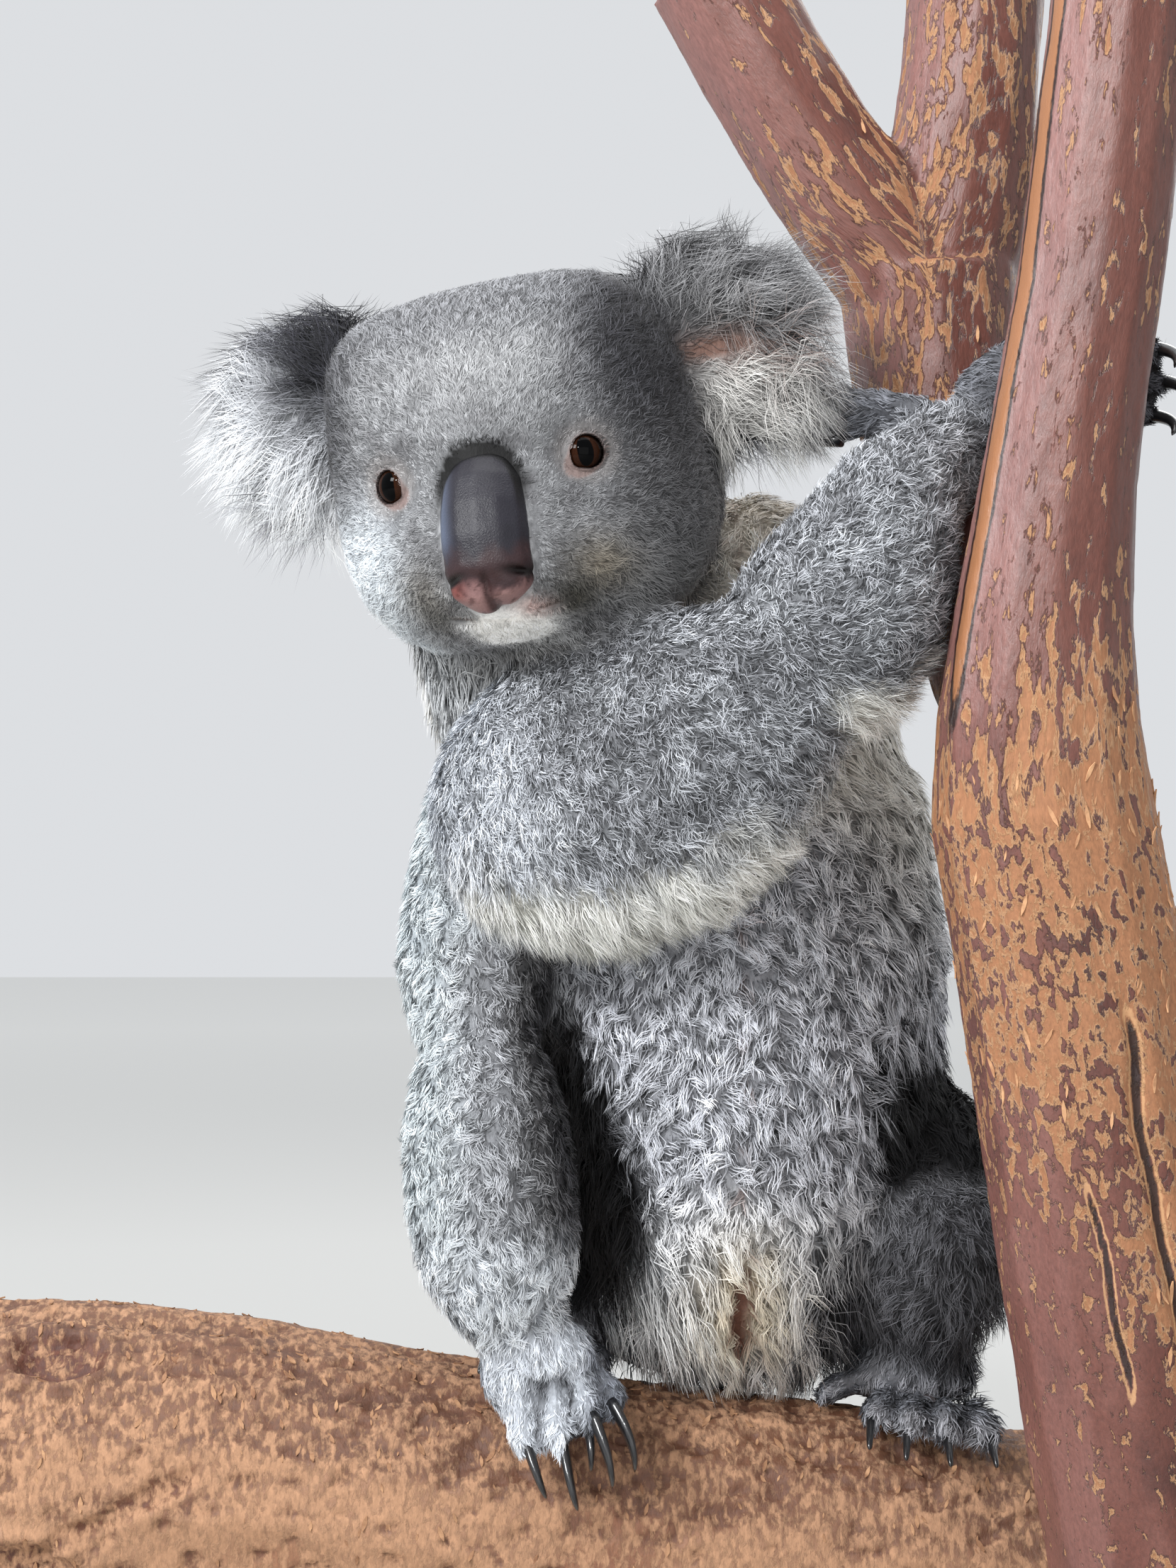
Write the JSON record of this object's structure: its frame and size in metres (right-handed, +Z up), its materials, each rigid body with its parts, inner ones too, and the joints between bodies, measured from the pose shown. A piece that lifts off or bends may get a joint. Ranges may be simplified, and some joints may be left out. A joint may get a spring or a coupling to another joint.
{
  "type": "koala",
  "caption": "life-size still model of a koala seated on a log, one arm over the log and one reaching to a forked trunk, on a plain stand",
  "frame": {"origin": "middle of the underside of the stand's base", "axes": "+Z up; the koala faces -Y and its left side is +X"},
  "size_m": [0.52, 0.34, 0.7348],
  "materials": {
    "coat": "dense soft grey fur",
    "ear_fur": "long pale fringe fur",
    "nose_leather": "smooth bare skin, pink at the lower edge",
    "eye": "wet gloss, brown iris",
    "claw": "polished dark horn",
    "log_bark": "rough orange-tan bark",
    "trunk_bark": "smooth red-brown bark, flaking to tan",
    "stand_board": "painted, satin",
    "stand_steel": "brushed"
  },
  "bodies": {
    "root": {"eye_left": "eye", "eye_right": "eye", "nose": "nose_leather", "perch_trunk": "trunk_bark", "perch_stem": "trunk_bark", "perch_limb_left": "trunk_bark", "perch_limb_right": "trunk_bark", "perch_log": "log_bark", "stand_base": "stand_board", "stand_rod_log": "stand_steel", "stand_rod_trunk": "stand_steel", "hand_right_claw_1": "claw", "hand_right_claw_2": "claw", "hand_right_claw_3": "claw", "hand_right_claw_4": "claw", "hand_right_claw_5": "claw", "hand_left_claw_1": "claw", "hand_left_claw_2": "claw", "hand_left_claw_3": "claw", "hand_left_claw_4": "claw", "hand_left_claw_5": "claw", "foot_left_claw_1": "claw", "foot_left_claw_2": "claw", "foot_left_claw_3": "claw", "foot_left_claw_4": "claw", "foot_right_claw_1": "claw", "foot_right_claw_2": "claw", "foot_right_claw_3": "claw", "foot_right_claw_4": "claw", "hand_right": "coat", "hand_left": "coat", "foot_left": "coat", "foot_right": "coat", "head": "coat", "ear_left": "ear_fur", "ear_right": "ear_fur", "forearm_left": "coat", "forearm_right": "coat", "upper_arm_left": "coat", "upper_arm_right": "coat", "torso": "coat", "neck": "coat", "thigh_left": "coat", "thigh_right": "coat", "shin_left": "coat", "shin_right": "coat"}
  },
  "joints": []
}
